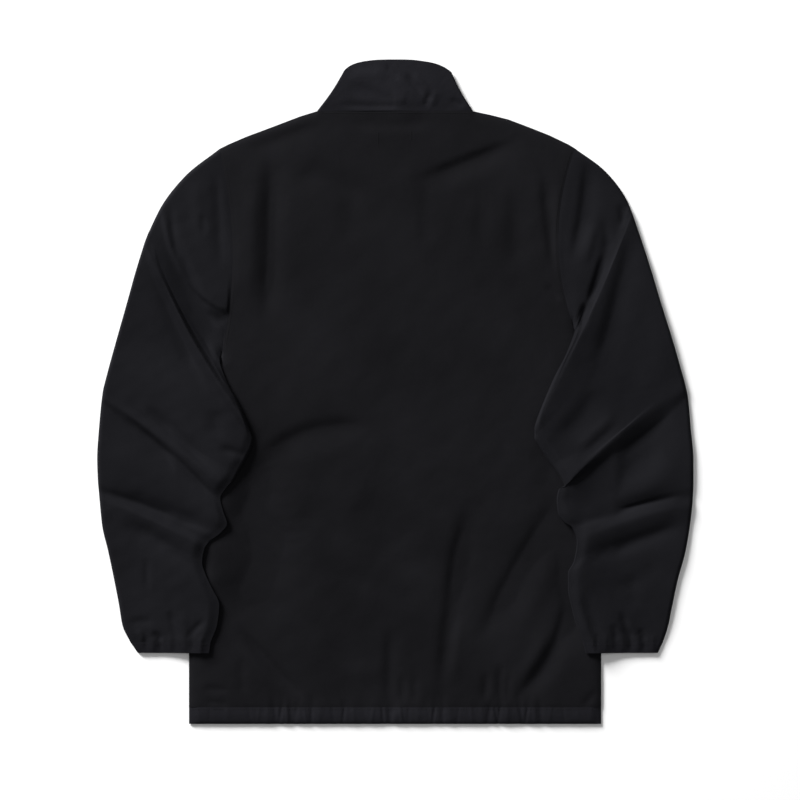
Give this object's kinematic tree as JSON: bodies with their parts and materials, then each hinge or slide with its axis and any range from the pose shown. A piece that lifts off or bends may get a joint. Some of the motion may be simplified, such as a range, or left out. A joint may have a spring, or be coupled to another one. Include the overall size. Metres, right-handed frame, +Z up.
{
  "type": "windbreaker, laid flat with its back up",
  "caption": "Black windbreaker laid flat on its front: stand collar, set-in sleeves folded down over the sides, elastic cuffs and hem casing, closed front zip underneath.",
  "frame": {"origin": "on the surface it lies on, under the middle of the garment", "axes": "+Y from hem to collar, +X across to the picture's right, +Z up from the surface"},
  "size_m": [0.7135, 0.7942, 0.0156],
  "materials": {
    "shell_cloth": "matte plain weave polyester",
    "elastic_casing": "matte plain weave polyester over elastic, gathered",
    "zip_tape": "matte herringbone tape",
    "zip_teeth": "satin nylon coil",
    "zip_metal": "black enamelled die casting"
  },
  "bodies": {
    "garment": {"front_left": "shell_cloth", "front_right": "shell_cloth", "back": "shell_cloth", "sleeve_left": "shell_cloth", "sleeve_right": "shell_cloth", "collar": "shell_cloth", "cuff_left": "elastic_casing", "cuff_right": "elastic_casing", "hem_band": "elastic_casing", "zip_tape_left": "zip_tape", "zip_tape_right": "zip_tape", "zip_coil": "zip_teeth", "zip_slider": "zip_metal"},
    "pull_tab": {"zip_pull": "zip_metal"}
  },
  "joints": [
    {"name": "pull_tab_hinge", "type": "hinge", "parent": "garment", "child": "pull_tab", "pos_m": [0, 0.344, 0.0017], "axis": [-1, 0, 0], "range_deg": [0, 165]}
  ]
}
